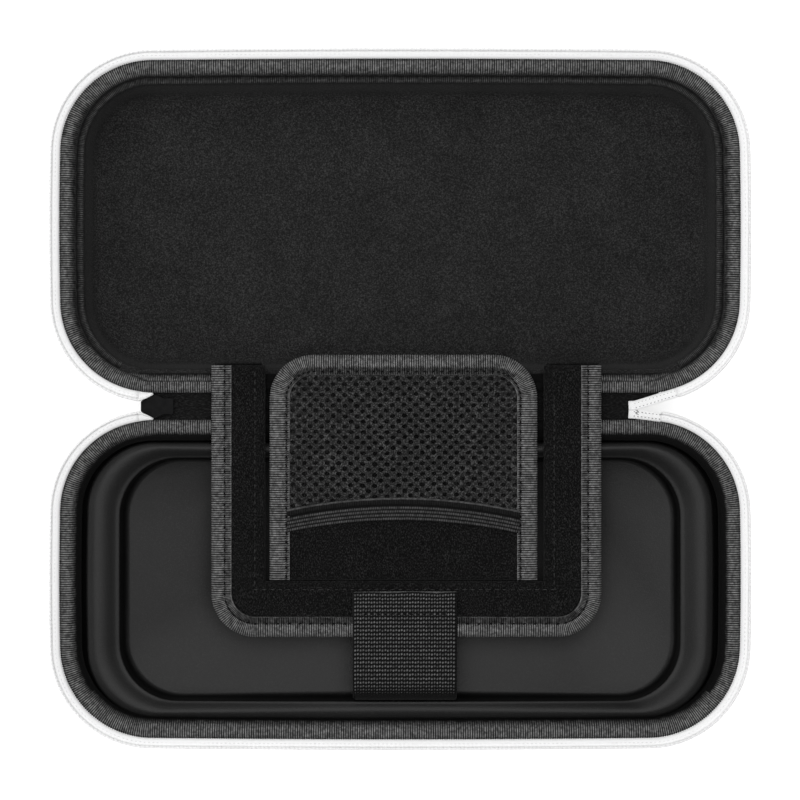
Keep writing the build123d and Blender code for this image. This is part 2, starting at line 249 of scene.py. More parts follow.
# %% White tape
def woven_white():
    """White zipper tape: a fine weave drawn on the strip's own UV map, in metres along and across."""
    finish, shader = new_finish("white_zipper_tape", (0.95, 0.95, 0.95), 0.8, 0.2, 0.1)
    strip = add_node(finish, "UVMap", uv_map="strip")
    weave = add_node(finish, "TexChecker", {"Scale": 2400.0})
    link(finish, strip.outputs["UV"], weave.inputs["Vector"])
    fibres = add_noise(finish, 5000, 2.0)
    colour = add_ramp(finish, weave.outputs["Fac"], [(0.0, (0.93, 0.93, 0.935)), (1.0, (0.97, 0.97, 0.97))])
    shade = add_ramp(finish, fibres, [(0.3, 0.96), (0.7, 1.0)])
    link(finish, mix_colours(finish, colour, shade, 1.0, "MULTIPLY"), shader.inputs["Base Color"])
    add_bump(finish, shader, weave.outputs["Fac"], 0.04 * mm)
    return finish


zipper_tape = woven_white()
print("finishes", len(bpy.data.materials))

# %% [markdown]
# ## Paths and sweeps
# Most of this case is strip: tape, binding, webbing. A strip is a cross-section carried along a path. A path
# here is a list of straight runs and arcs, and each run can say where a point lies and which way is outward.

# %% Paths made of runs
def straight(start, end):
    """A straight run. Outward is to the right of the way it goes."""
    start, end = Vector(start), Vector(end)
    ahead = (end - start).normalized()
    outward = Vector((ahead.y, -ahead.x))
    return (end - start).length, lambda share: (start.lerp(end, share), outward)


def arc(centre, radius, first, last):
    """An arc that turns left, from one angle to a larger one. Outward is away from its centre."""
    def at(share):
        angle = first + (last - first) * share
        outward = Vector((cos(angle), sin(angle)))
        return Vector(centre) + outward * radius, outward
    return (last - first) * radius, at


def path_length(runs):
    return sum(length for length, at in runs)


def walk(runs, distance):
    """The point and the outward direction at a distance along a path."""
    for length, at in runs:
        if distance <= length:
            return at(distance / length)
        distance -= length
    return runs[-1][1](1.0)

# %% [markdown]
# ## Sweeping a strip
# Blender could bevel a curve with a profile, but then the ribs and the UV map would be out of reach. Instead
# a flat grid is cut, one column to a station and one row to a point of the cross-section, and each vertex is
# carried to its place. The grid's flat size becomes the UV map, as it would for real tape.

# %% Sweep
def on_floor(u, v, w):
    return Vector((u, v, w))


def in_tray(u, v, w):
    """The tray's half is drawn on the lid's side of the fold and turned over."""
    return Vector((u, -v, w))


def profile_normals(profile):
    """Which way each point of a cross-section faces, from its neighbours."""
    normals = []
    for index, point in enumerate(profile):
        before = profile[max(index - 1, 0)]
        after = profile[min(index + 1, len(profile) - 1)]
        normals.append(Vector((before[1] - after[1], after[0] - before[0])).normalized())
    return normals


def sweep(runs, profile, step, relief=None, lay=on_floor, first=0.0, last=None, relief_height=1.0):
    """Carries a cross-section of (outward, up) points along a path; relief(station, row) lifts threads."""
    last = path_length(runs) if last is None else last
    count = max(2, round((last - first) / step))
    stations = [walk(runs, first + (last - first) * index / count) for index in range(count + 1)]
    normals = profile_normals(profile)
    across = [0.0]
    for before, after in zip(profile, profile[1:]):
        across.append(across[-1] + (Vector(after) - Vector(before)).length)
    bm = bmesh.new()
    strip = bm.loops.layers.uv.new("strip")
    crest = bm.verts.layers.float.new("crest")
    bmesh.ops.create_grid(bm, x_segments=count, y_segments=len(profile) - 1, size=0.5)
    cells = {}
    for vert in bm.verts:
        cells[vert] = (round((vert.co.x + 0.5) * count), round((vert.co.y + 0.5) * (len(profile) - 1)))
    for face in bm.faces:
        for loop in face.loops:
            station, row = cells[loop.vert]
            loop[strip].uv = (station * step, across[row])
    for vert, (station, row) in cells.items():
        point, outward = stations[station]
        share = relief(station, row) if relief else 0.5
        lift = normals[row] * ((share - 0.5) * relief_height if relief else 0.0)
        spot = point + outward * (profile[row][0] + lift.x)
        vert.co = lay(spot.x, spot.y, profile[row][1] + lift.y)
        vert[crest] = share
    bmesh.ops.remove_doubles(bm, verts=bm.verts, dist=1e-6)
    open_edges = [edge for edge in bm.edges if edge.is_boundary]
    if profile[0] == profile[-1] and open_edges:
        bmesh.ops.holes_fill(bm, edges=open_edges)
    bmesh.ops.recalc_face_normals(bm, faces=bm.faces)
    return bm


def make_piece(bm, name, slot, finish, body=None, nodes=()):
    """Turns a bmesh into a piece that rides on a body, has a finish and stands for its CAD nodes."""
    mesh = bpy.data.meshes.new(name)
    bm.to_mesh(mesh)
    bm.free()
    mesh.shade_smooth()
    mesh.materials.append(finish)
    piece = bpy.data.objects.new(name, mesh)
    bpy.context.scene.collection.objects.link(piece)
    if body:
        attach(piece, body)
    if nodes:
        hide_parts(*nodes)
    print(name, len(mesh.polygons), "faces")
    return piece

# %% [markdown]
# ## The outline of a half
# Both halves have the same rounded outline. Its two sides and its front bow out a little, as a moulded shell
# does, and the corners are fillets between those bows. The sizes are read from the CAD bindings.

# %% Outline of the lid and of the tray
corner_radius = 35 * mm
side_bow = 1.5 * mm
front_bow = 1.0 * mm


def bow_radius(chord, bow):
    return (chord * chord / 4 + bow * bow) / (2 * bow)


def half_path(back, front, half_width, corner=corner_radius, bowed=1.0):
    """The outline of one half, from the middle of its back edge round to the same point."""
    side_out, front_out = side_bow * bowed, front_bow * bowed
    side_radius = bow_radius(front - front_out - back, side_out)
    front_radius = bow_radius(2 * (half_width - side_out), front_out)
    # The side's bow runs through its corners and its middle, so its circle is level with the chord's middle.
    chord_middle = (back + front - front_out) / 2
    side = Vector((half_width - side_radius, chord_middle))
    top = Vector((0, front - front_radius))
    back_y = back + corner
    reach = side_radius - corner
    back_corner = Vector((side.x + sqrt(reach ** 2 - (back_y - side.y) ** 2), back_y))
    crossings = intersect_sphere_sphere_2d(side, reach, top, front_radius - corner)
    front_corner = max(crossings, key=lambda point: point.x + point.y)
    back_angle = atan2(back_corner.y - side.y, back_corner.x - side.x)
    side_angle = atan2(front_corner.y - side.y, front_corner.x - side.x)
    front_angle = atan2(front_corner.y - top.y, front_corner.x - top.x)
    mirrored = [Vector((-point.x, point.y)) for point in (front_corner, side, back_corner)]
    return [
        straight((0, back), (back_corner.x, back)),
        arc(back_corner, corner, -pi / 2, back_angle),
        arc(side, side_radius, back_angle, side_angle),
        arc(front_corner, corner, side_angle, front_angle),
        arc(top, front_radius, front_angle, pi - front_angle),
        arc(mirrored[0], corner, pi - front_angle, pi - side_angle),
        arc(mirrored[1], side_radius, pi - side_angle, pi - back_angle),
        arc(mirrored[2], corner, pi - back_angle, 3 * pi / 2),
        straight((-back_corner.x, back), (0, back)),
    ]


lid_low, lid_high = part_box("lid_binding")
tray_low, tray_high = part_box("tray_binding")
lid_path = half_path(lid_low.y, lid_high.y, lid_high.x)
tray_path = half_path(-tray_high.y, -tray_low.y, tray_high.x)
print("round the lid", round(path_length(lid_path), 4), "m; round the tray", round(path_length(tray_path), 4), "m")

# %% [markdown]
# ## Rim bindings
# A ribbed tape is rolled over each rim and sewn down. The roll is a half-round cross-section, and every
# second station stands a little proud, which is what makes the ribs catch the light one by one.

# %% Rolled bindings
rib_pitch = 0.87 * mm
rib_height = 0.34 * mm


def in_mm(points):
    return [(u * mm, w * mm) for u, w in points]


roll_top = [
    (0.0, 20.0), (0.0, 21.0), (-0.15, 21.9), (-0.6, 22.7), (-1.4, 23.3), (-2.4, 23.5), (-3.5, 23.4), (-4.5, 22.9),
    (-5.3, 22.0), (-5.8, 20.8),
]
lid_roll = in_mm(roll_top + [(-5.95, 20.0), (0.0, 20.0)])
tray_roll = in_mm(roll_top + [
    (-6.4, 19.5), (-7.1, 18.2), (-7.7, 17.0), (-7.9, 16.2), (-5.0, 16.4), (-4.4, 20.0), (0.0, 20.0),
])
# The inner rows of each roll are painted dark, as painted shade: strip rows darker than ribs, and the darkest rows
# where the roll turns down into the groove.
lid_rows = ["flat"] + ["rib"] * 6 + ["sewn"] + ["strip"] * 2 + ["flat"] * 2
lid_end_rows = ["flat"] + ["rib"] * 8 + ["sewn"] + ["flat"] * 2
front_rows = ["flat"] + ["rib"] * 8 + ["sewn", "strip"] + ["deep"] * 3 + ["flat"] * 3
left_rows = ["flat"] + ["rib"] * 7 + ["sewn", "strip"] + ["deep"] * 4 + ["flat"] * 3
right_rows = ["flat"] + ["rib"] * 7 + ["strip"] + ["deep"] * 5 + ["flat"] * 3
flap_cover = 60 * mm
# The darkest row kind, nearly flat, is painted near black: painted shade where a roll turns into a groove or lies
# under the flap.
row_heights = {
    "rib": (0.0, 0.85), "sewn": (0.05, 0.6), "strip": (0.1, 0.36), "deep": (0.0, 0.08), "edge": (0.4, 0.8),
    "flat": (0.5, 0.5),
}


def ribs(kinds_at):
    """Alternate stations stand proud. Each row of the cross-section is ribbed, weakly ribbed or flat, and some
    rows are sunk and painted dark, as painted shade.
    """
    def height(station, row):
        low, high = row_heights[kinds_at(station)[row]]
        share = high if station % 2 else low
        return share + 0.15 * noise.noise(Vector((station * 0.37, row * 0.9, 0.5))) * (high > low)
    return height


def even_step(path, pitch):
    """A step of about half a pitch that fits a path in an even number of steps."""
    return path_length(path) / (2 * round(path_length(path) / pitch))


def bind_rim(name, path, section, kinds_at, lay, body):
    step = even_step(path, rib_pitch)

    def kinds(station):
        return kinds_at(*walk(path, station * step))
    bm = sweep(path, section, step, ribs(kinds), lay, relief_height=rib_height)
    return make_piece(bm, name, "grosgrain", grosgrain, body, [name])


def pressed_and_shaded(rows, point):
    """Under the flap, along the middle of the fold, the ribs are pressed flat and painted dark, as painted shade.
    """
    if abs(point.x) < flap_cover and point.y < 10 * mm:
        return ["flat" if kind == "flat" else "deep" for kind in rows]
    return rows


def kinds_on_tray(point, outward):
    """At the front the roll's inner side faces the light and keeps its ribs; at the left and right its inner rows
    are painted dark as painted shade, over one row more on the right.
    """
    if outward.y > 0.6:
        return front_rows
    return pressed_and_shaded(left_rows if outward.x < 0 else right_rows, point)


def kinds_on_lid(point, outward):
    """Along the fold and at the far end the ribs run further down the roll than at the sides."""
    return pressed_and_shaded(lid_end_rows if abs(outward.y) > 0.6 else lid_rows, point)


halves = (("lid", lid_path, on_floor), ("tray", tray_path, in_tray))
rolls = ((lid_roll, kinds_on_lid), (tray_roll, kinds_on_tray))
for (half, path, lay), (section, kinds_at) in zip(halves, rolls):
    bind_rim(half + "_binding", path, section, kinds_at, lay, half)

# %% [markdown]
# ## Hem inside the lid
# Inside the lid the binding ends in a narrow hem with its own finer thread. It is a second, lower sweep that
# lies against the roll. Along the fold the jersey is turned over the edge instead, under a last strip of the
# ribbed tape that sinks away at the corners.

# %% Lid hem
hem = in_mm([
    (-5.5, 19.2), (-5.7, 19.6), (-6.2, 19.7), (-6.8, 19.8), (-7.5, 19.9), (-8.1, 19.95), (-8.7, 19.8),
    (-9.1, 19.1), (-7.6, 18.9), (-5.5, 19.2),
])
hem_pitch = 0.8 * mm
# Next to the roll the hem's first rows are painted dark, as painted shade in the groove between them.
hem_kinds = ["flat"] + ["deep"] * 2 + ["strip", "sewn"] + ["rib"] * 2 + ["flat"] * 3
back_run = lid_path[0][0]
hem_gap = 16 * mm
hem_start = back_run + hem_gap
hem_bm = sweep(
    lid_path, hem, even_step(lid_path, hem_pitch), ribs(lambda station: hem_kinds), first=hem_start,
    last=path_length(lid_path) - hem_start, relief_height=0.26 * mm,
)
make_piece(hem_bm, "lid_hem", "grosgrain", hem_tape, "lid")
turned_path = [lid_path[-2], straight((-back_run, lid_low.y), (back_run, lid_low.y)), lid_path[1]]
fold_from, fold_to = turned_path[0][0], turned_path[0][0] + 2 * back_run
turned_bm = sweep(turned_path, hem, 1.5 * mm, first=fold_from - hem_gap, last=fold_to + hem_gap)
make_piece(turned_bm, "lid_turned_edge", "knit_lining", jersey, "lid")
fold_strip = in_mm([
    (-4.2, 22.5), (-4.3, 23.1), (-4.9, 22.85), (-5.5, 22.3), (-6.1, 21.5), (-6.7, 20.7), (-7.2, 20.1),
    (-7.3, 19.6), (-6.6, 19.4), (-4.2, 22.5),
])
# The strip's lowest inner row is painted dark as painted shade, and under the flap its ribs are painted dark too.
fold_kinds = ["flat", "rib", "rib", "rib", "sewn", "strip", "deep", "flat", "flat", "flat"]
strip_gap = 12 * mm
strip_start = fold_from - strip_gap


def fold_rows(station):
    return pressed_and_shaded(fold_kinds, walk(turned_path, strip_start + station * rib_pitch / 2)[0])


fold_bm = sweep(
    turned_path, fold_strip, rib_pitch / 2, ribs(fold_rows), first=strip_start, last=fold_to + strip_gap,
    relief_height=rib_height,
)
for vert in fold_bm.verts:
    beyond = max(0.0, (abs(vert.co.x) - back_run) / (11 * mm))
    vert.co.z -= 2.4 * mm * beyond ** 2
make_piece(fold_bm, "lid_fold_hem", "grosgrain", grosgrain, "lid")

# %% [markdown]
# ## Zipper tapes
# A white tape is sewn outside each binding and leans outwards. It is open along the fold, between the
# slider on one side and the sewn end on the other. A row of stitches holds it, and the coil runs on its edge.

# %% Tapes
tape_end = 98.3 * mm
tape_starts = {"lid": 104.2 * mm, "tray": tape_end}
tape_section = in_mm([
    (0.1, 21.0), (-0.05, 22.4), (-0.3, 23.6), (-0.1, 24.3), (0.4, 24.75), (1.0, 24.95), (1.8, 25.05), (2.6, 25.1),
    (3.3, 25.1), (3.3, 24.4), (2.0, 24.2), (1.1, 23.6), (0.95, 22.5), (0.9, 21.0), (0.1, 21.0),
])
for half, path, lay in halves:
    bm = sweep(path, tape_section, 2 * mm, None, lay, tape_starts[half], path_length(path) - tape_end)
    make_piece(bm, half + "_zipper_tape", "zipper_tape", zipper_tape, half, [half + "_zipper_tape"])

# %% [markdown]
# ## Small things in rows
# Stitches and coil teeth repeat hundreds of times, so each is one tiny squashed sphere of a few dozen faces.
# A helper walks a path and sets one down at each step, turned to lie along the path.

# %% Rows of stitches and teeth
thread_crest = 0.5


def row_of_beads(bm, spots, size):
    """Sets a squashed sphere at each (place, direction along, direction up)."""
    crest = bm.verts.layers.float.get("crest") or bm.verts.layers.float.new("crest")
    for place, ahead, up in spots:
        aside = up.cross(ahead).normalized()
        turn = Matrix((ahead * size[0], aside * size[1], up * size[2])).transposed().to_4x4()
        matrix = Matrix.Translation(place) @ turn
        made = bmesh.ops.create_uvsphere(bm, u_segments=6, v_segments=4, radius=1.0, matrix=matrix)
        for vert in made["verts"]:
            vert[crest] = thread_crest


def along_path(runs, offset, height, pitch, lay=on_floor, first=0.0, last=None, slant=0.0):
    """Evenly spaced places beside a path, for stitches and teeth, each turned by slant."""
    last = path_length(runs) if last is None else last
    count = int((last - first) / pitch)
    up = Vector((0, 0, 1))
    spots = []
    for index in range(count):
        point, outward = walk(runs, first + (index + 0.5) * (last - first) / count)
        spot = point + outward * offset
        ahead = lay(-outward.y, outward.x, 0).normalized()
        ahead.rotate(Matrix.Rotation(slant, 3, "Z"))
        spots.append((lay(spot.x, spot.y, height), ahead, up))
    return spots


tooth_pitch = 1.6 * mm
coil_core = in_mm([
    (1.8, 24.3), (2.15, 25.0), (2.55, 25.75), (2.95, 26.2), (3.35, 25.9), (3.5, 25.2), (3.4, 24.3), (1.8, 24.3),
])
for half, path, lay in halves:
    bounds = (tape_starts[half], path_length(path) - tape_end)
    bm = sweep(path, coil_core, 2 * mm, None, lay, *bounds)
    teeth = along_path(path, 2.95 * mm, 25.85 * mm, tooth_pitch, lay, *bounds)
    row_of_beads(bm, teeth, (0.62 * mm, 0.55 * mm, 0.66 * mm))
    bmesh.ops.recalc_face_normals(bm, faces=bm.faces)
    make_piece(bm, half + "_zipper_coil", "zipper_coil", coil_plastic, half, [half + "_zipper_coil"])
    bm = bmesh.new()
    stitches = along_path(path, 1.3 * mm, 24.96 * mm, tooth_pitch, lay, *bounds)
    row_of_beads(bm, stitches, (0.5 * mm, 0.18 * mm, 0.12 * mm))
    make_piece(bm, half + "_tape_stitches", "zipper_tape", white_thread, half)

# %% [markdown]
# ## Lining of the lid
# A black jersey is laminated into the lid shell, down its walls and over its floor. One sweep covers the wall
# and its rounded foot, and one flat face then closes the floor inside them, as smooth as the moulded shell.

# %% Lining
lining_wall = in_mm([
    (-5.95, 20.0), (-7.4, 19.2), (-8.6, 18.4), (-9.2, 17.0), (-9.6, 15.0), (-10.2, 12.0), (-10.7, 9.4),
    (-11.1, 7.8), (-11.7, 6.4), (-12.6, 5.3), (-13.8, 4.7), (-15.4, 4.5), (-18.0, 4.5),
])
lining_bm = sweep(lid_path, lining_wall, 2.5 * mm)
rim_edges = [edge for edge in lining_bm.edges if edge.is_boundary]
floor_edges = [edge for edge in rim_edges if edge.verts[0].co.z < 10 * mm]
bmesh.ops.contextual_create(lining_bm, geom=floor_edges)
bmesh.ops.recalc_face_normals(lining_bm, faces=lining_bm.faces)
if sum(face.normal.z * face.calc_area() for face in lining_bm.faces) < 0:
    bmesh.ops.reverse_faces(lining_bm, faces=lining_bm.faces)
lining_area = sum(face.calc_area() for face in lining_bm.faces)
lining = make_piece(lining_bm, "lid_lining", "knit_lining", jersey, "lid", ["lid_lining"])
thick = lining.modifiers.new("cloth thickness", "SOLIDIFY")
thick.thickness = 1.2 * mm
thick.offset = -1

# %% [markdown]
# ## Flap and stand tongue
# The flap is a U of thin padding under velour. A grid is laid over its whole rectangle, cut along the edges
# of the opening, and the opening's faces go. Extruding what is left gives a closed pad, whose top is then
# shaped: it rolls off at the edges and dips along each line of stitches.

# %% Pads
def padded_plate(rectangle, cell, bottom, surface, cuts=(), gone=None):
    """A closed pad over a rectangle, with surface(x, y) as its top. Cuts are (place, normal) lines in the
    grid, and the faces for which gone(x, y) is true are taken away."""
    left, right, low, high = rectangle
    bm = bmesh.new()
    columns, rows = round((right - left) / cell), round((high - low) / cell)
    bmesh.ops.create_grid(bm, x_segments=columns, y_segments=rows, size=0.5)
    bmesh.ops.scale(bm, verts=bm.verts, vec=(right - left, high - low, 1))
    bmesh.ops.translate(bm, verts=bm.verts, vec=((left + right) / 2, (low + high) / 2, bottom))
    for place, normal in cuts:
        everything = bm.verts[:] + bm.edges[:] + bm.faces[:]
        bmesh.ops.bisect_plane(bm, geom=everything, plane_co=(*place, 0), plane_no=(*normal, 0))
    if gone:
        opening = [face for face in bm.faces if gone(*face.calc_center_median().xy)]
        bmesh.ops.delete(bm, geom=opening, context="FACES")
        bmesh.ops.remove_doubles(bm, verts=bm.verts, dist=0.05 * mm)
    raised = bmesh.ops.extrude_face_region(bm, geom=bm.faces[:], use_keep_orig=True)
    for element in raised["geom"]:
        if isinstance(element, bmesh.types.BMVert):
            element.co.z = surface(element.co.x, element.co.y)
    bmesh.ops.recalc_face_normals(bm, faces=bm.faces)
    return bm


def roll_off(distance, depth, width):
    """How far a pad's top falls near an edge."""
    return depth * exp(-max(distance, 0) / width)


def dip(distance, depth=0.4 * mm, width=0.55 * mm):
    """The dent along a line of stitches."""
    return depth * exp(-(distance / width) ** 2)


flap_low, flap_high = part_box("flap_binding")
flap_panel_low, flap_panel_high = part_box("flap_panel")
stand_low, stand_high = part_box("stand_binding")
slot_left = stand_low.x - 1.7 * mm
slot_right = stand_high.x + 2.5 * mm
slot_front = stand_low.y - 0.45 * mm
stitch_inset = 3.8 * mm
stitch_front = 3.0 * mm
flap_tuck = 5.4 * mm


def flap_surface(x, y):
    slot = min(
        slot_left - x if x < slot_left else x - slot_right if x > slot_right else 1.0,
        slot_front - y if y < slot_front else 1.0,
    ) if (x <= slot_left or x >= slot_right or y <= slot_front) else 0.0
    height = flap_panel_high.z - roll_off(slot, 0.8 * mm, 0.9 * mm)
    height -= roll_off(flap_panel_high.y - y, 1.3 * mm, 0.9 * mm)
    if y > slot_front - stitch_front:
        height -= dip(x - slot_left + stitch_inset) + dip(x - slot_right - stitch_inset)
    if slot_left - stitch_inset < x < slot_right + stitch_inset:
        height -= dip(y - slot_front + stitch_front)
    return height + 0.16 * mm * noise.noise(Vector((x, y, 0)) * 90)


flap_rectangle = (
    flap_low.x + flap_tuck, flap_high.x - flap_tuck, flap_low.y + flap_tuck, flap_panel_high.y,
)
slot_lines = [((slot_left, 0), (1, 0)), ((slot_right, 0), (1, 0)), ((0, slot_front), (0, 1))]
flap_bm = padded_plate(
    flap_rectangle, 0.8 * mm, flap_panel_low.z, flap_surface, slot_lines,
    lambda x, y: slot_left < x < slot_right and y > slot_front,
)
flap_pad = make_piece(flap_bm, "flap_panel", "velour", velour, "flap", ["flap_panel"])

stand_panel_low, stand_panel_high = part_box("stand_panel")
stand_tuck = 5.6 * mm


def stand_surface(x, y):
    height = stand_panel_high.z - roll_off(y - stand_panel_low.y, 1.0 * mm, 1.1 * mm)
    height -= dip(y - stand_panel_low.y - 2.2 * mm, 0.25 * mm)
    return height + 0.14 * mm * noise.noise(Vector((x, y, 1)) * 80)


stand_rectangle = (
    stand_low.x + stand_tuck, stand_high.x - stand_tuck, stand_panel_low.y, stand_high.y - stand_tuck,
)
stand_bm = padded_plate(stand_rectangle, 0.8 * mm, stand_panel_low.z, stand_surface)
stand_pad = make_piece(stand_bm, "stand_panel", "velour", velour, "flap", ["stand_panel"])

# %% [markdown]
# ## Bindings of the flap and the tongue
# The same ribbed tape is folded over the edges of both pads, flat this time, and sewn down along a line near
# its inner edge. The paths are U-shaped: round the front of the flap, and round the tip of the tongue.

# %% Folded bindings and their stitches
flap_corner = 16.5 * mm
stand_corner = 16.5 * mm
left, right = flap_low.x + flap_corner, flap_high.x - flap_corner
front = flap_low.y + flap_corner
flap_path = [
    straight((flap_low.x, flap_high.y), (flap_low.x, front)),
    arc((left, front), flap_corner, pi, 1.5 * pi),
    straight((left, flap_low.y), (right, flap_low.y)),
    arc((right, front), flap_corner, 1.5 * pi, tau),
    straight((flap_high.x, front), (flap_high.x, flap_high.y)),
]
left, right = stand_low.x + stand_corner, stand_high.x - stand_corner
tip = stand_high.y - stand_corner
stand_path = [
    straight((stand_high.x, stand_low.y), (stand_high.x, tip)),
    arc((right, tip), stand_corner, 0.0, pi / 2),
    straight((right, stand_high.y), (left, stand_high.y)),
    arc((left, tip), stand_corner, pi / 2, pi),
    straight((stand_low.x, tip), (stand_low.x, stand_low.y)),
]


def folded_tape(width, sewn, dull):
    """A tape folded over an edge: a plump roll outside its line of stitches and a flat strip inside it. At
    the end of the pad the flat strip takes up some rows more, given by dull."""
    section = in_mm([
        (-width, 24.1), (-width, 27.4), (-width + 0.2, 27.75), (-width + 0.5, 27.8), (-sewn - 0.6, 27.75),
        (-sewn, 27.3), (-sewn + 0.5, 27.6), (-sewn + 1.2, 28.0), (-sewn + 2.2, 28.15), (-1.6, 27.85), (-0.7, 27.3),
        (-0.15, 26.6), (0.0, 25.9), (-0.3, 25.0), (-1.2, 24.3), (-3.0, 24.0), (-width, 24.1),
    ])
    side = ["flat", "flat", "edge", "sewn", "sewn", "strip"] + ["rib"] * 7 + ["strip"] * 2 + ["flat"] * 2
    end = ["flat", "flat"] + ["strip"] * (4 + dull) + ["rib"] * (7 - dull) + ["strip"] * 2 + ["flat"] * 2
    return section, side, end


def bind_pad(name, path, width, sewn, stitch_pitch, dull):
    section, side, end = folded_tape(width, sewn, dull)
    step = even_step(path, rib_pitch)
    end_from, end_to = path[0][0] + path[1][0] / 2, path_length(path) - path[0][0] - path[1][0] / 2

    def kinds_at(station):
        return end if end_from < station * step < end_to else side

    bm = sweep(path, section, step, ribs(kinds_at), relief_height=rib_height)
    # The cut ends of the tape are pressed down over the last millimetres.
    ends = []
    for distance, sign in ((0.0, 1), (path_length(path), -1)):
        point, outward = walk(path, distance)
        ends.append((point, sign * outward.orthogonal()))
    for vert in bm.verts:
        free = min((vert.co.xy - point).dot(ahead) for point, ahead in ends)
        squeeze = max(0.0, 1 - abs(free) / (1.6 * mm))
        vert.co.z -= 1.1 * mm * squeeze ** 2 * (vert.co.z > 26 * mm)
    make_piece(bm, name, "grosgrain", grosgrain, "flap", [name])
    bm = bmesh.new()
    stitches = along_path(path, -sewn * mm, 27.45 * mm, stitch_pitch, slant=0.35)
    row_of_beads(bm, stitches, (0.72 * mm, 0.4 * mm, 0.28 * mm))
    make_piece(bm, name + "_stitches", "grosgrain", thread, "flap")


bind_pad("flap_binding", flap_path, 7.6, 5.0, 4.2 * mm, 0)
bind_pad("stand_binding", stand_path, 7.6, 6.3, 3.2 * mm, 2)

seam_left, seam_right = slot_left - stitch_inset, slot_right + stitch_inset
seam_front, seam_back = slot_front - stitch_front, flap_panel_high.y - 2 * mm
seam_path = [
    straight((seam_left, seam_back), (seam_left, seam_front)),
    straight((seam_left, seam_front), (seam_right, seam_front)),
    straight((seam_right, seam_front), (seam_right, seam_back)),
]
seam_bm = bmesh.new()
seam_spots = along_path(seam_path, 0.0, flap_panel_high.z - 0.3 * mm, 3.0 * mm)
row_of_beads(seam_bm, seam_spots, (0.95 * mm, 0.16 * mm, 0.16 * mm))
make_piece(seam_bm, "flap_seam_stitches", "velour", seam_thread, "flap")

# %% [markdown]
# ## Mesh pocket
# The pocket is a knitted net. Hexagons are laid side by side and merged, each is inset, the inset faces are
# squashed to the small lying holes of such a knit, and go. A thickness and one subdivision round the yarn.

# %% Net
hole_pitch = 4.4 * mm
row_pitch = 2.0 * mm
yarn_half = 0.4 * mm
hole_scale = (1.16, 0.48)
mouth_left, mouth_top, mouth_right = -51.7 * mm, -45.7 * mm, -52.3 * mm
band_width = 8.6 * mm
net_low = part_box("pocket_mesh")[0]
net_middle = (stand_low.x + stand_high.x) / 2
net_half = (stand_high.x - stand_low.x) / 2


def mouth(x):
    """The arched lower edge of the pocket, as a parabola through its ends and its top."""
    share = (x - net_middle) / net_half
    ends = (mouth_right + mouth_left) / 2 - mouth_top
    lean = (mouth_right - mouth_left) / 2
    return mouth_top + lean * share + ends * share * share


def net_height(x, y):
    """The net lies on the tongue at its sewn edges and stands a little off it in the middle."""
    across = max(0.0, 1 - ((x - net_middle) / (net_half - 5 * mm)) ** 2)
    foot, head = mouth(x), stand_high.y - 6 * mm
    up = max(0.0, min(1.0, (y - foot) / (head - foot)))
    slack = 1.3 * mm * across * max(0.0, sin(pi * up)) ** 0.7
    return net_low.z + 0.2 * mm + slack + 0.25 * mm * noise.noise(Vector((x, y, 3)) * 60)


def hexagon_net():
    """Hexagons whose corners meet: in each row one hole pitch apart, each row half a pitch along."""
    bm = bmesh.new()
    rows = int((stand_high.y - mouth_right) / row_pitch) + 2
    columns = int(2 * net_half / hole_pitch) + 2
    half = hole_pitch / 2
    corners = [(-2 / 3, 0), (-1 / 3, -1), (1 / 3, -1), (2 / 3, 0), (1 / 3, 1), (-1 / 3, 1)]
    for row in range(rows):
        for column in range(columns):
            x = stand_low.x + (column + 0.5 * (row % 2)) * hole_pitch
            y = mouth_right + row * row_pitch
            aside = max(0.0, abs(x - net_middle) - net_half + stand_corner)
            above = max(0.0, y - stand_high.y + stand_corner)
            if sqrt(aside ** 2 + above ** 2) > stand_corner - 4.8 * mm or y < mouth(x) + 3 * mm:
                continue
            verts = [bm.verts.new((x + u * half, y + v * row_pitch, 0)) for u, v in corners]
            bm.faces.new(verts)
    bmesh.ops.remove_doubles(bm, verts=bm.verts, dist=0.02 * mm)
    inset = bmesh.ops.inset_individual(bm, faces=bm.faces[:], thickness=yarn_half, use_even_offset=True)
    rim = set(inset["faces"])
    holes = [face for face in bm.faces if face not in rim]
    for hole in holes:
        centre = hole.calc_center_median()
        uneven = noise.noise_vector(centre * 700)
        scale = (hole_scale[0] + 0.12 * uneven.x, hole_scale[1] + 0.1 * uneven.y, 1)
        away = Matrix.Translation(-centre)
        bmesh.ops.scale(bm, verts=hole.verts, vec=scale, space=away)
        bmesh.ops.rotate(bm, verts=hole.verts, cent=centre, matrix=Matrix.Rotation(0.5 * uneven.z, 3, "Z"))
    bmesh.ops.delete(bm, geom=holes, context="FACES")
    return bm


# Noise vectors are seeded by the clock unless a seed is set, and each run would then draw another net.
noise.seed_set(1)
net_bm = hexagon_net()
for vert in net_bm.verts:
    drift = noise.noise_vector(Vector((vert.co.x, vert.co.y, 7)) * 35)
    sewn = max(0.0, 1 - ((vert.co.x - net_middle) / (net_half - 5 * mm)) ** 2)
    vert.co.x += 0.9 * mm * drift.x * sewn
    vert.co.y += 0.9 * mm * drift.y * sewn
    vert.co.z = net_height(vert.co.x, vert.co.y)

bmesh.ops.recalc_face_normals(net_bm, faces=net_bm.faces)
if sum(face.normal.z for face in net_bm.faces) < 0:
    bmesh.ops.reverse_faces(net_bm, faces=net_bm.faces)
net_area = sum(face.calc_area() for face in net_bm.faces)
pocket = make_piece(net_bm, "pocket_mesh", "pocket_mesh", net_yarn, "flap", ["pocket_mesh"])
yarn = pocket.modifiers.new("yarn thickness", "SOLIDIFY")
yarn.thickness = 0.5 * mm
rounded = pocket.modifiers.new("round yarn", "SUBSURF")
rounded.levels = rounded.render_levels = 1
print("net of yarn", round(net_area * 1e6), "mm2")

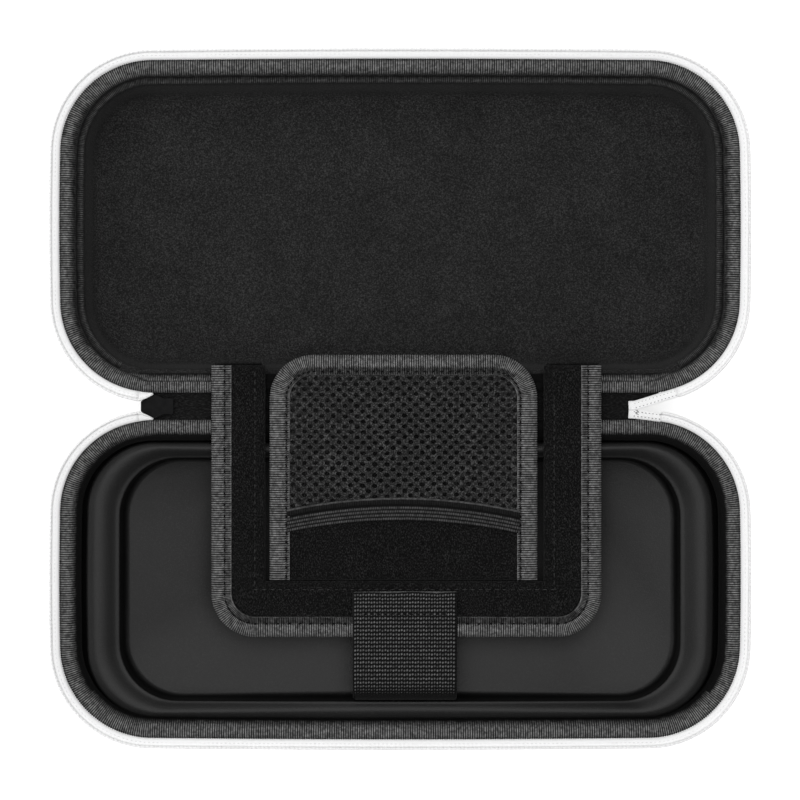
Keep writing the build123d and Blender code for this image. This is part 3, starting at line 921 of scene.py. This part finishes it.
# %% [markdown]
# ## Elastic at the pocket's mouth
# The mouth is edged with a ribbed elastic. Its cross-section has a plump hem, a sewn groove and a few long
# ribs, and it is swept along the arch. Short cross threads along the way give it its knitted look.

# %% Elastic band
band_left, band_right = stand_low.x + 6.6 * mm, stand_high.x - 6.6 * mm
band_steps = 200


def band_profile(share):
    """Height over the net across the band, from its lower edge up: four ribs, a groove, the hem, its edge."""
    if share < 0.64:
        return 0.36 * abs(sin(4 * pi * share / 0.64)) ** 0.7 + 0.2
    if share < 0.70:
        return 0.05
    return 0.55 * max(0.0, sin(pi * (share - 0.70) / 0.30)) ** 0.6 + 0.12


def band_crest(share, step):
    """How pale a thread is: knitted dashes by turns along the ribs, a dull hem, a pale edge. Rib tops are painted
    paler than their sides and the sewn groove black, as painted light and painted shade.
    """
    if share > 0.93:
        return 0.75
    if share > 0.70:
        return 0.26 if step % 2 else 0.12
    if share > 0.64:
        return 0.0
    rib = int(share / 0.16)
    ridge = abs(sin(pi * share / 0.16))
    return ridge * (0.95 if (step + rib) % 2 else 0.25)


def elastic_band():
    rows = 32
    bm = bmesh.new()
    bm.loops.layers.uv.new("strip")
    crest = bm.verts.layers.float.new("crest")
    bmesh.ops.create_grid(bm, x_segments=band_steps, y_segments=rows, size=0.5)
    for vert in bm.verts:
        step = round((vert.co.x + 0.5) * band_steps)
        share = vert.co.y + 0.5
        x = band_left + (band_right - band_left) * step / band_steps
        y = mouth(x) + band_width * share
        height = band_profile(share) * (1.0 if step % 2 else 0.82)
        vert[crest] = band_crest(share, step)
        vert.co = (x, y, net_height(x, y) + 0.45 * mm + height * mm)
    raised = bmesh.ops.extrude_face_region(bm, geom=bm.faces[:], use_keep_orig=True)
    for element in raised["geom"]:
        if isinstance(element, bmesh.types.BMVert):
            element.co.z = net_height(element.co.x, element.co.y) + 0.1 * mm
    bmesh.ops.recalc_face_normals(bm, faces=bm.faces)
    return bm


make_piece(elastic_band(), "pocket_band", "elastic", elastic, "flap", ["pocket_band"])

# %% [markdown]
# ## Retaining strap
# A wide webbing comes up out of the recess and lies over the flap. Its route is drawn from the side, and its
# cross-section is as wide as the strap. Each warp thread rises and sinks by turns with its neighbours, so the
# weave is a brick pattern of small bumps.

# %% Webbing
strap_low, strap_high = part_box("retaining_strap")
strap_thick = 1.6 * mm
strap_bend = 3.0 * mm
strap_shoulder = 11.0 * mm
strap_top = strap_high.z - strap_thick / 2
strap_foot = strap_low.z + strap_thick / 2
wall_y = strap_low.y + strap_thick / 2
shoulder_y = wall_y + strap_shoulder
bend_y = wall_y + strap_bend
foot_y = wall_y + 17 * mm
strap_path = [
    straight((strap_high.y, strap_top), (shoulder_y, strap_top)),
    arc((shoulder_y, strap_top - strap_shoulder), strap_shoulder, pi / 2, pi),
    straight((wall_y, strap_top - strap_shoulder), (wall_y, strap_foot + strap_bend)),
    arc((bend_y, strap_foot + strap_bend), strap_bend, pi, 1.5 * pi),
    straight((bend_y, strap_foot), (foot_y, strap_foot)),
]
warp_pitch = 1.05 * mm
pick_pitch = 1.5 * mm
samples = 4
warps = round((strap_high.x - strap_low.x) / warp_pitch)
top_points = warps * samples


def strap_section():
    """Across the strap: its upper face in many points, then round its edges and back below."""
    left, right = strap_low.x, strap_high.x
    half = strap_thick / 2 - 0.15 * mm
    across = right - left - 0.8 * mm
    upper = [(half, left + 0.4 * mm + across * index / top_points) for index in range(top_points + 1)]
    lower = [(-half, right - 0.4 * mm - across * index / 8) for index in range(9)]
    return [*upper, (0.0, right), *lower, (0.0, left), upper[0]]


def weave(station, row):
    """Height of the webbing's bumps: rows of short raised threads on the upper face, nothing below."""
    if row > top_points:
        return 0.1
    if station < 1:
        return 0.6
    warp = row // samples
    over = sin(pi * ((row % samples) + 0.5) / samples)
    phase = station / samples + 0.12 * (warp % 2) + 0.3 * (row % samples) / samples
    # Where the strap turns down into the recess its bumps close up, and the weave is painted dark as painted
    # shade.
    bend_shade = (station * pick_pitch / samples - strap_path[0][0] - 5 * mm) / (7 * mm)
    return max(0.0, over * (0.5 + 0.5 * cos(tau * phase))) ** 1.5 * (1 - max(0.0, min(1.0, bend_shade)))


def lay_strap(u, v, w):
    return Vector((w, u, v))


strap_bm = sweep(strap_path, strap_section(), pick_pitch / samples, weave, lay_strap, relief_height=0.5 * mm)
for vert in strap_bm.verts:
    near_cut = max(0.0, 1 - (strap_high.y - vert.co.y) / (5 * mm)) * (vert.co.z > strap_top - 2 * mm)
    vert.co.y -= near_cut * mm * (0.35 + 0.35 * noise.noise(Vector((vert.co.x * 110, 0, 9))))
strap = make_piece(strap_bm, "retaining_strap", "webbing", webbing, "tray", ["retaining_strap"])


def squash_with_lid(piece):
    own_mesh(piece)


squash_with_lid(strap)

# %% Rows of stitches across the strap
tack_bm = bmesh.new()
for tack_y in (-80.8 * mm, -95.1 * mm):
    row = [straight((strap_low.x + 3.5 * mm, tack_y), (strap_high.x - 3.5 * mm, tack_y))]
    spots = along_path(row, 0.0, strap_high.z - 0.2 * mm, 2.3 * mm)
    row_of_beads(tack_bm, spots, (0.95 * mm, 0.4 * mm, 0.28 * mm))
squash_with_lid(make_piece(tack_bm, "strap_stitches", "webbing", thread, "tray"))

# %% [markdown]
# ## Hook patch, tabs and fold strip
# Three small sewn pieces hold the soft parts together: the hook patch under the strap, a tab at the end of
# each flap arm, and a strip of cloth under the tongue's fold. They are thin pads like the big ones.

# %% Small sewn pieces
def small_pad(node, cell, edge):
    low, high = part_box(node)

    def surface(x, y):
        near = min(x - low.x, high.x - x, y - low.y, high.y - y)
        return high.z - roll_off(near, (high.z - low.z) * 0.4, edge)

    return padded_plate((low.x, high.x, low.y, high.y), cell, low.z, surface)


patch_bm = small_pad("strap_hook_patch", 0.6 * mm, 0.4 * mm)
squash_with_lid(make_piece(patch_bm, "strap_hook_patch", "hook_pad", hook_pad, "tray", ["strap_hook_patch"]))
strip_bm = small_pad("stand_fold_strip", 1.5 * mm, 0.5 * mm)
make_piece(strip_bm, "stand_fold_strip", "velour", velour, "flap", ["stand_fold_strip"])


def sew_tab(node):
    """A folded tab: its foot lies on the hem, and its upright edge carries the flap's arm."""
    low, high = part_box(node)
    depth, bend = 0.6 * mm, 1.3 * mm
    half = depth / 2
    path = [
        straight((low.y, low.z + half), (high.y - bend, low.z + half)),
        arc((high.y - bend, low.z + bend), bend - half, -pi / 2, 0.0),
        straight((high.y - half, low.z + bend), (high.y - half, high.z)),
    ]
    section = [(half, low.x), (half, high.x), (-half, high.x), (-half, low.x), (half, low.x)]
    return make_piece(sweep(path, section, 0.5 * mm, None, lay_strap), node, "velour", velour, "lid", [node])


for node in ("flap_tab_left", "flap_tab_right"):
    sew_tab(node)

# %% [markdown]
# ## Spine between the halves
# One strip of cloth joins tray and lid at the fold. It is a thin grid with a faint ridge along it.

# %% Spine
spine_low, spine_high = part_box("hinge_spine")
end_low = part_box("zipper_end_tab")[0]
spine_back = lid_low.y + 0.9 * mm
spine_front = tray_high.y - 1.0 * mm
notch = Vector((end_low.x + 3.6 * mm, -4.2 * mm))
notch_up, notch_down = 0.6, -0.12


def spine_surface(x, y):
    ridge = 0.35 * mm * exp(-((y + 2.3 * mm) / (0.6 * mm)) ** 2)
    share = (y - spine_front) / (spine_back - spine_front)
    sag = 0.5 * mm * sin(pi * max(0.0, min(1.0, share)))
    return spine_high.z - 0.1 * mm - sag + ridge + 0.1 * mm * noise.noise(Vector((x * 40, y * 200, 0)))


def in_notch(x, y):
    """The spine ends in a notch between the two tapes, so the white ground shows there."""
    return x > notch.x and notch_down * (x - notch.x) < y - notch.y < notch_up * (x - notch.x)


notch_lines = [(notch, (-notch_up, 1)), (notch, (-notch_down, 1))]
spine_rectangle = (spine_low.x, spine_high.x, spine_front, spine_back)
spine_bm = padded_plate(spine_rectangle, 0.8 * mm, spine_low.z + 0.2 * mm, spine_surface, notch_lines, in_notch)
spine = make_piece(spine_bm, "hinge_spine", "spine_fabric", spine_cloth, None, ["hinge_spine"])
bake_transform(spine)

# %% [markdown]
# ## Ends of the zipper
# At the right end of the fold the two tapes leave the bindings and run together in a V, whose point is cut
# square and sewn to the spine. Each arm is a sweep of the tape that flattens on its way. The V crosses the
# fold. At the left end the tapes run into the slider instead.

# %% V of the tapes
lid_join = walk(lid_path, tape_starts["lid"])[0]
lid_arm = [
    straight((end_low.x, -1.1 * mm), (88.6 * mm, -1.0 * mm)),
    straight((88.6 * mm, -1.0 * mm), lid_join),
]
tray_arm = [
    straight((end_low.x, 7.1 * mm), (88.6 * mm, 7.2 * mm)),
    straight((88.6 * mm, 7.2 * mm), (98.4 * mm, 8.45 * mm)),
]


def lie_down(vert):
    """Flattens the leaning tape towards its sewn end."""
    share = max(0.0, min(1.0, (vert.co.x - end_low.x) / (tape_end - end_low.x)))
    share = share * share * (3 - 2 * share)
    steep = 0.22 + 0.78 * share
    vert.co.z = 20.3 * mm + 0.7 * mm * share + (vert.co.z - 21 * mm) * steep


end_bm = sweep(lid_arm, tape_section, 0.8 * mm)
under_bm = sweep(tray_arm, tape_section, 0.8 * mm, None, in_tray)
bmesh.ops.translate(under_bm, verts=under_bm.verts, vec=(0, 0, -0.9 * mm))
under_mesh = bpy.data.meshes.new("tray arm")
under_bm.to_mesh(under_mesh)
under_bm.free()
end_bm.from_mesh(under_mesh)
bpy.data.meshes.remove(under_mesh)
for vert in end_bm.verts:
    lie_down(vert)
end_tab = make_piece(end_bm, "zipper_end_tab", "zipper_tape", zipper_tape, None, ["zipper_end_tab"])


def bend_at_fold(piece):
    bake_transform(piece)


bend_at_fold(end_tab)

# %% Stitches of the V
tack_bm = bmesh.new()
for arm, lay in ((lid_arm, on_floor), (tray_arm, in_tray)):
    for offset, height in ((0.75, 24.75), (2.4, 25.1)):
        spots = along_path(arm, offset * mm, height * mm, 1.3 * mm, lay, 1.5 * mm)
        row_of_beads(tack_bm, spots, (0.32 * mm, 0.16 * mm, 0.22 * mm))
for index in range(6):
    place = Vector((end_low.x + 3.2 * mm, -5.6 * mm + index * 0.6 * mm, 24.4 * mm))
    slant = Vector((1.0, 0.5 if index % 2 else -0.5, 0)).normalized()
    row_of_beads(tack_bm, [(place, slant, Vector((0, 0, 1)))], (0.8 * mm, 0.2 * mm, 0.2 * mm))
for vert in tack_bm.verts:
    lie_down(vert)
bend_at_fold(make_piece(tack_bm, "zipper_end_tack", "zipper_tape", tack_thread))

# %% Tapes at the slider
mouth_x = -93.4 * mm
tails = (
    ("_tape_tail", tape_section, "zipper_tape", zipper_tape),
    ("_coil_tail", coil_core, "zipper_coil", coil_plastic),
)
for half, path, lay in halves:
    last = path_length(path)
    edge_y = lay(0, path[0][1](0.0)[0].y, 0).y
    for name, section, slot, finish in tails:
        arms = sweep(path, section, 0.8 * mm, None, lay, last - tape_end - 0.6 * mm, last + mouth_x)
        for vert in arms.verts:
            share = max(0.0, min(1.0, (vert.co.x + tape_end) / (mouth_x + tape_end)))
            vert.co.y = edge_y + (vert.co.y - edge_y) * (1 - 0.75 * share)
            vert.co.z -= 1.6 * mm * share * (vert.co.z - 21 * mm) / (4 * mm)
        make_piece(arms, half + name, slot, finish, half)

# %% [markdown]
# ## Foam insert
# The insert is moulded foam with a soft crest near its outer edge, from which it falls away to the lip of the
# recess. A loft suits that: its outline and the mouth of the recess are walked side by side, and each row of
# a grid lies between the two at its own height. One face closes the bottom, and one is the recess floor.

# %% Foam insert
insert_low, insert_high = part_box("tray_insert")
outer_path = half_path(
    -insert_high.y - 0.5 * mm, -insert_low.y + 1.0 * mm, insert_high.x + 0.9 * mm, corner=26 * mm,
)
mouth_path = half_path(22.4 * mm, 114.2 * mm, 106 * mm, corner=22 * mm, bowed=0.1)
run_steps = (26, 16, 18, 16, 52, 16, 18, 16, 26)
wall_rows = in_mm([
    (1.4, 5.0), (0.3, 16.0), (0.0, 19.3), (0.1, 20.0), (0.4, 20.5), (1.0, 20.85), (1.8, 21.15), (2.6, 21.38),
    (3.4, 21.5),
])
crest_rows = [
    (0.12, 21.47), (0.25, 21.35), (0.4, 21.05), (0.55, 20.62), (0.7, 20.05), (0.82, 19.58), (0.92, 19.32),
    (1.0, 19.25),
]
mouth_rows = in_mm([(-0.35, 19.15), (-0.08, 18.8), (0.0, 18.2), (0.25, 12.0), (0.5, 9.3), (1.3, 8.0), (2.8, 7.5)])
lip_width = 0.7 * mm
wide_rim = 9 * mm


def insert_columns():
    """Walks both outlines, run by run, and gives the places and heights of each column's points. Where the
    rim is narrow, at front and back, it falls less and the lip stays higher."""
    top, bottom = wall_rows[-1][1], crest_rows[-1][1] * mm
    for index, steps in enumerate(run_steps):
        for step in range(steps):
            outer = outer_path[index][1](step / steps)[0]
            inner = mouth_path[index][1](step / steps)[0]
            inward = (inner - outer).normalized()
            crest, lip = outer + inward * wall_rows[-1][0], inner - inward * lip_width
            fall = min(1.0, (lip - crest).length / wide_rim)
            saved = (top - bottom) * (1 - fall)
            yield [
                *[(outer + inward * away, height) for away, height in wall_rows],
                *[(crest.lerp(lip, share), top - (top - height * mm) * fall) for share, height in crest_rows],
                *[(inner + inward * away, height + saved * (height > 15 * mm)) for away, height in mouth_rows],
            ]


columns = list(insert_columns())
rows = len(columns[0])
insert_bm = bmesh.new()
bmesh.ops.create_grid(insert_bm, x_segments=len(columns), y_segments=rows - 1, size=0.5)
for vert in insert_bm.verts:
    column = round((vert.co.x + 0.5) * len(columns)) % len(columns)
    place, height = columns[column][round((vert.co.y + 0.5) * (rows - 1))]
    vert.co = in_tray(place.x, place.y, height)
bmesh.ops.remove_doubles(insert_bm, verts=insert_bm.verts, dist=0.01 * mm)
rims = [edge for edge in insert_bm.edges if edge.is_boundary]
for below in (True, False):
    rim = [edge for edge in rims if (edge.verts[0].co.z < 6 * mm) == below]
    bmesh.ops.contextual_create(insert_bm, geom=rim)
bmesh.ops.recalc_face_normals(insert_bm, faces=insert_bm.faces)
make_piece(insert_bm, "tray_insert", "moulded_foam", foam, "tray", ["tray_insert"])

# %% [markdown]
# ## Rigid pieces
# The shells, the slider and its pull have the right shape already, so they keep their CAD meshes and only get
# a finish. Slider and pull also get their edges rounded by modifiers, which leave the CAD mesh as it is.

# %% Finishes for CAD nodes
def dress(node, finish):
    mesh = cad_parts[node].data
    mesh.materials.clear()
    mesh.materials.append(finish)


for node in ("tray_shell", "lid_shell"):
    dress(node, shell_skin)

for node in ("zipper_slider", "zipper_pull"):
    dress(node, slider_paint)
    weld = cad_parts[node].modifiers.new("merge", "WELD")
    weld.merge_threshold = 0.01 * mm
    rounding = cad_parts[node].modifiers.new("round edges", "BEVEL")
    rounding.width = 0.25 * mm
    rounding.segments = 3
    rounding.limit_method = "ANGLE"

# %% [markdown]
# ## Floor, light and camera
# The photograph looks straight down on a white ground. The floor is pale and takes the shadow, and a little
# of its own light, for camera and mirror rays only, lifts it to white.

# %% Stage
floor_bm = bmesh.new()
bmesh.ops.create_grid(floor_bm, x_segments=1, y_segments=1, size=6.0)
floor_mesh = bpy.data.meshes.new("floor")
floor_bm.to_mesh(floor_mesh)
floor_bm.free()
floor = bpy.data.objects.new("floor", floor_mesh)
bpy.context.scene.collection.objects.link(floor)
paper, paper_shader = new_finish("white_paper", (0.86, 0.86, 0.86), 1.0, 0.0)
rays = add_node(paper, "LightPath")
seen = add_node(paper, "Math", operation="MAXIMUM")
link(paper, rays.outputs["Is Camera Ray"], seen.inputs[0])
link(paper, rays.outputs["Is Glossy Ray"], seen.inputs[1])
through = add_node(paper, "Math", operation="MAXIMUM")
link(paper, seen.outputs[0], through.inputs[0])
link(paper, rays.outputs["Is Transmission Ray"], through.inputs[1])
lift = add_node(paper, "Math", {1: 0.62}, operation="MULTIPLY")
link(paper, through.outputs[0], lift.inputs[0])
paper_shader.inputs["Emission Color"].default_value = (1, 1, 1, 1)
link(paper, lift.outputs[0], paper_shader.inputs["Emission Strength"])
floor_mesh.materials.append(paper)

scene = bpy.context.scene
scene.view_settings.view_transform = "Standard"
world = bpy.data.worlds.new("studio")
scene.world = world
world.use_nodes = True
backdrop = world.node_tree.nodes["Background"]
backdrop.inputs["Color"].default_value = (1, 1, 1, 1)
backdrop.inputs["Strength"].default_value = 0.4


def soft_lamp(name, place, size, power):
    """A square softbox that faces the case."""
    lamp = bpy.data.lights.new(name, "AREA")
    lamp.size = size
    lamp.energy = power
    holder = bpy.data.objects.new(name, lamp)
    holder.location = place
    holder.rotation_euler = (-Vector(place)).to_track_quat("-Z", "Y").to_euler()
    scene.collection.objects.link(holder)


soft_lamp("overhead_softbox", (-0.05, 0.1, 1.5), 1.1, 13.2)
soft_lamp("key_softbox", (-0.35, 0.85, 0.85), 0.6, 1.7)
soft_lamp("side_softbox", (-0.95, -0.1, 0.75), 0.6, 1.9)

# %% [markdown]
# ### Camera
# A long lens far above keeps the picture nearly parallel, as the photograph is. Its frame is as wide as
# 302 mm at the height of the rim.

# %% Camera
frame_width = 302 * mm
lens = 135
sensor = 36
lens_height = frame_width * lens / sensor + 23.5 * mm
camera = bpy.data.cameras.new("camera")
camera.lens = lens
camera.sensor_width = sensor
camera.clip_end = 20
holder = bpy.data.objects.new("camera", camera)
holder.location = (0, -0.4 * mm, lens_height)
scene.collection.objects.link(holder)
scene.camera = holder
print("camera", round(lens_height, 3), "m above the floor")
